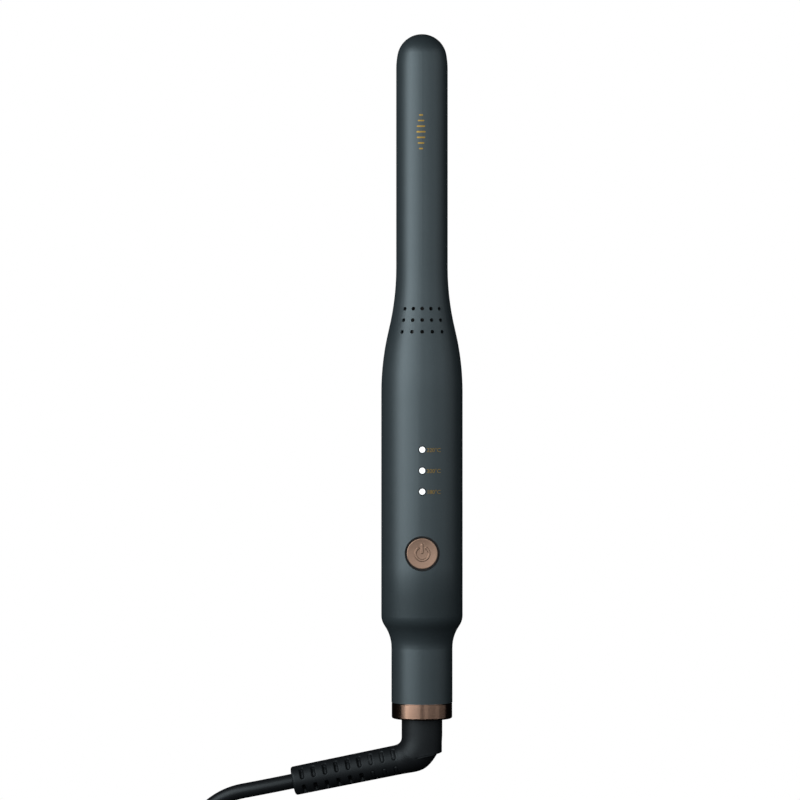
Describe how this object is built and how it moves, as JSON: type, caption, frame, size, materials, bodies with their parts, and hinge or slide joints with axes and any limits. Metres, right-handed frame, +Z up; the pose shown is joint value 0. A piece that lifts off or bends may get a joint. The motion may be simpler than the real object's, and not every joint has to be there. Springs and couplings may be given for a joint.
{
  "type": "curling iron",
  "caption": "Clipless curling iron: slim round heated barrel with a domed tip flowing into a round handle, push button, lights, vents, and a power cord on a swivel.",
  "frame": {"origin": "on the table, under the middle of the tool's length and width, the cord and strain relief not counted", "axes": "+Y along the tool towards the barrel's tip, +Z up through the button, +X across the tool"},
  "size_m": [0.1319, 0.3928, 0.03],
  "materials": {
    "barrel_coating": "satin ceramic coating",
    "shell_resin": "soft matt",
    "bronze_anodised": "turned, anodised bronze",
    "stub_resin": "matt",
    "relief_rubber": "matt",
    "cord_jacket": "satin",
    "tie_strap": "woven",
    "plug_resin": "satin",
    "blade_brass": "nickel-free, drawn",
    "heat_resin": "glass filled",
    "heater_ceramic": "fired",
    "mica": "sheet",
    "spreader_aluminium": "extruded",
    "spring_steel": "rolled",
    "wire_sleeve": "silicone",
    "board_laminate": "solder mask",
    "component_black": "moulded",
    "capacitor_yellow": "moulded",
    "varistor_blue": "dipped",
    "lens_white": "frosted light guide",
    "acetal": "moulded",
    "contact_brass": "turned",
    "brush_carbon": "pressed carbon",
    "screw_steel": "zinc plated"
  },
  "bodies": {
    "cord_end": {"swivel_stub": "stub_resin", "retaining_clip": "spring_steel", "slip_rings": "contact_brass", "core_wires": "wire_sleeve", "strain_relief": "relief_rubber", "cord_lead": "cord_jacket", "cord_coil": "cord_jacket", "cord_tail": "cord_jacket", "cord_ties": "tie_strap", "plug_body": "plug_resin", "plug_blades": "blade_brass"},
    "iron": {"barrel": "barrel_coating", "front_shell": "shell_resin", "back_shell": "shell_resin", "end_ring": "bronze_anodised", "insulating_collar": "heat_resin", "heater_plate": "heater_ceramic", "mica_sheets": "mica", "heat_spreader_front": "spreader_aluminium", "heat_spreader_back": "spreader_aluminium", "spreader_springs": "spring_steel", "thermistor": "wire_sleeve", "thermal_fuse": "heater_ceramic", "heater_leads": "wire_sleeve", "case_screws": "screw_steel", "board_screws": "screw_steel", "circuit_board": "board_laminate", "indicator_leds": "lens_white", "light_guide": "lens_white", "tact_switch": "component_black", "controller_chip": "component_black", "triac": "component_black", "capacitor": "capacitor_yellow", "varistor": "varistor_blue", "mains_wires": "wire_sleeve", "brush_block": "heat_resin", "contact_brushes": "brush_carbon", "swivel_bearing": "acetal"},
    "button": {"power_button": "bronze_anodised", "switch_plunger": "acetal"}
  },
  "joints": [
    {"name": "cord_swivel", "type": "hinge", "parent": "cord_end", "child": "iron", "pos_m": [0, -0.10575, 0.015], "axis": [0, 1, 0], "continuous": true},
    {"name": "button_press", "type": "slide", "parent": "iron", "child": "button", "axis": [0, 0, -1], "range_m": [0, 0.0005], "stiffness_N_per_m": 2000, "springref_m": -0.0005}
  ]
}
